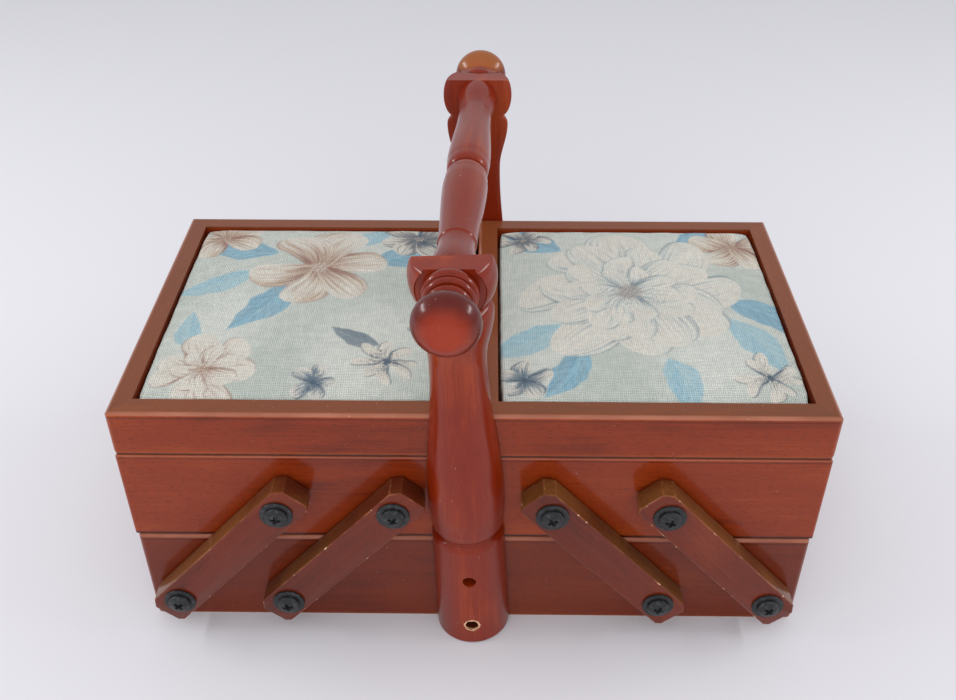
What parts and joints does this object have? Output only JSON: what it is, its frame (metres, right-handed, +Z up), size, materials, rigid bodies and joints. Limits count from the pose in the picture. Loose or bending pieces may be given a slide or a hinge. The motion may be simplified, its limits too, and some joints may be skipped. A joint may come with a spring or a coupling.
{
  "type": "sewing carrier",
  "caption": "Wooden sewing carrier: a base with trays that swing apart on cantilever arms, a padded lid on each tray and a turned carrying handle.",
  "frame": {"origin": "middle of the base's underside, on the surface it stands on", "axes": "+X along the two trays, to the right in the picture; +Y away from the viewer, along the carrying bar; +Z up"},
  "size_m": [0.3, 0.2382, 0.2007],
  "materials": {
    "board_wood": "satin red-brown stain and lacquer",
    "turned_wood": "satin red-brown stain and lacquer on turnings",
    "arm_wood": "satin red-brown stain and lacquer",
    "ply": "plain plywood, matt",
    "black_screw": "black, satin",
    "black_washer": "black, satin",
    "old_brass": "dulled",
    "pad_fabric": "printed canvas over a soft pad"
  },
  "bodies": {
    "base": {"base_front_wall": "board_wood", "base_back_wall": "board_wood", "base_left_wall": "board_wood", "base_right_wall": "board_wood", "base_bottom": "ply", "base_pivot_screws": "black_screw", "base_pivot_washers": "black_washer", "front_post": "turned_wood", "back_post": "turned_wood", "post_screws": "old_brass", "handle_bar": "turned_wood", "front_knob": "turned_wood", "back_knob": "turned_wood"},
    "left_tray": {"left_tray_front_wall": "board_wood", "left_tray_back_wall": "board_wood", "left_tray_outer_wall": "board_wood", "left_tray_inner_wall": "board_wood", "left_tray_bottom": "ply", "left_tray_pivot_screws": "black_screw", "left_tray_pivot_washers": "black_washer", "left_tray_hinge_leaves": "old_brass", "left_hinge_pins": "old_brass", "left_tray_leaf_screws": "old_brass"},
    "left_lid": {"left_lid_front_rail": "board_wood", "left_lid_back_rail": "board_wood", "left_lid_outer_rail": "board_wood", "left_lid_inner_rail": "board_wood", "left_lid_board": "ply", "left_lid_pad": "pad_fabric", "left_lid_hinge_leaves": "old_brass", "left_lid_leaf_screws": "old_brass"},
    "left_front_outer_arm": {"left_front_outer_arm": "arm_wood"},
    "left_front_inner_arm": {"left_front_inner_arm": "arm_wood"},
    "left_back_outer_arm": {"left_back_outer_arm": "arm_wood"},
    "left_back_inner_arm": {"left_back_inner_arm": "arm_wood"},
    "right_tray": {"right_tray_front_wall": "board_wood", "right_tray_back_wall": "board_wood", "right_tray_outer_wall": "board_wood", "right_tray_inner_wall": "board_wood", "right_tray_bottom": "ply", "right_tray_pivot_screws": "black_screw", "right_tray_pivot_washers": "black_washer", "right_tray_hinge_leaves": "old_brass", "right_hinge_pins": "old_brass", "right_tray_leaf_screws": "old_brass"},
    "right_lid": {"right_lid_front_rail": "board_wood", "right_lid_back_rail": "board_wood", "right_lid_outer_rail": "board_wood", "right_lid_inner_rail": "board_wood", "right_lid_board": "ply", "right_lid_pad": "pad_fabric", "right_lid_hinge_leaves": "old_brass", "right_lid_leaf_screws": "old_brass"},
    "right_front_outer_arm": {"right_front_outer_arm": "arm_wood"},
    "right_front_inner_arm": {"right_front_inner_arm": "arm_wood"},
    "right_back_outer_arm": {"right_back_outer_arm": "arm_wood"},
    "right_back_inner_arm": {"right_back_inner_arm": "arm_wood"}
  },
  "joints": [
    {"name": "left_swing", "type": "hinge", "parent": "base", "child": "left_front_outer_arm", "pos_m": [-0.132, -0.087, 0.0215], "axis": [0, -1, 0], "range_deg": [0, 83.9]},
    {"name": "left_front_inner_swing", "type": "hinge", "parent": "base", "child": "left_front_inner_arm", "pos_m": [-0.0829, -0.087, 0.0215], "axis": [0, -1, 0], "range_deg": [0, 83.9]},
    {"name": "left_back_outer_swing", "type": "hinge", "parent": "base", "child": "left_back_outer_arm", "pos_m": [-0.132, 0.087, 0.0215], "axis": [0, -1, 0], "range_deg": [0, 83.9]},
    {"name": "left_back_inner_swing", "type": "hinge", "parent": "base", "child": "left_back_inner_arm", "pos_m": [-0.0829, 0.087, 0.0215], "axis": [0, -1, 0], "range_deg": [0, 83.9]},
    {"name": "left_tray_level", "type": "hinge", "parent": "left_front_outer_arm", "child": "left_tray", "pos_m": [-0.0825, -0.087, 0.0765], "axis": [0, -1, 0], "range_deg": [-83.9, 0]},
    {"name": "left_lid_hinge", "type": "hinge", "parent": "left_tray", "child": "left_lid", "pos_m": [-0.1484, 0, 0.099], "axis": [0, -1, 0], "range_deg": [0, 104.5]},
    {"name": "right_swing", "type": "hinge", "parent": "base", "child": "right_front_outer_arm", "pos_m": [0.132, -0.087, 0.0215], "axis": [0, 1, 0], "range_deg": [0, 83.9]},
    {"name": "right_front_inner_swing", "type": "hinge", "parent": "base", "child": "right_front_inner_arm", "pos_m": [0.0829, -0.087, 0.0215], "axis": [0, 1, 0], "range_deg": [0, 83.9]},
    {"name": "right_back_outer_swing", "type": "hinge", "parent": "base", "child": "right_back_outer_arm", "pos_m": [0.132, 0.087, 0.0215], "axis": [0, 1, 0], "range_deg": [0, 83.9]},
    {"name": "right_back_inner_swing", "type": "hinge", "parent": "base", "child": "right_back_inner_arm", "pos_m": [0.0829, 0.087, 0.0215], "axis": [0, 1, 0], "range_deg": [0, 83.9]},
    {"name": "right_tray_level", "type": "hinge", "parent": "right_front_outer_arm", "child": "right_tray", "pos_m": [0.0825, -0.087, 0.0765], "axis": [0, 1, 0], "range_deg": [-83.9, 0]},
    {"name": "right_lid_hinge", "type": "hinge", "parent": "right_tray", "child": "right_lid", "pos_m": [0.1484, 0, 0.099], "axis": [0, 1, 0], "range_deg": [0, 104.5]}
  ],
  "couplings": [
    {"joint": "left_front_inner_swing", "follows": "left_swing", "ratio": 1},
    {"joint": "left_back_outer_swing", "follows": "left_swing", "ratio": 1},
    {"joint": "left_back_inner_swing", "follows": "left_swing", "ratio": 1},
    {"joint": "left_tray_level", "follows": "left_swing", "ratio": -1},
    {"joint": "right_front_inner_swing", "follows": "right_swing", "ratio": 1},
    {"joint": "right_back_outer_swing", "follows": "right_swing", "ratio": 1},
    {"joint": "right_back_inner_swing", "follows": "right_swing", "ratio": 1},
    {"joint": "right_tray_level", "follows": "right_swing", "ratio": -1}
  ]
}
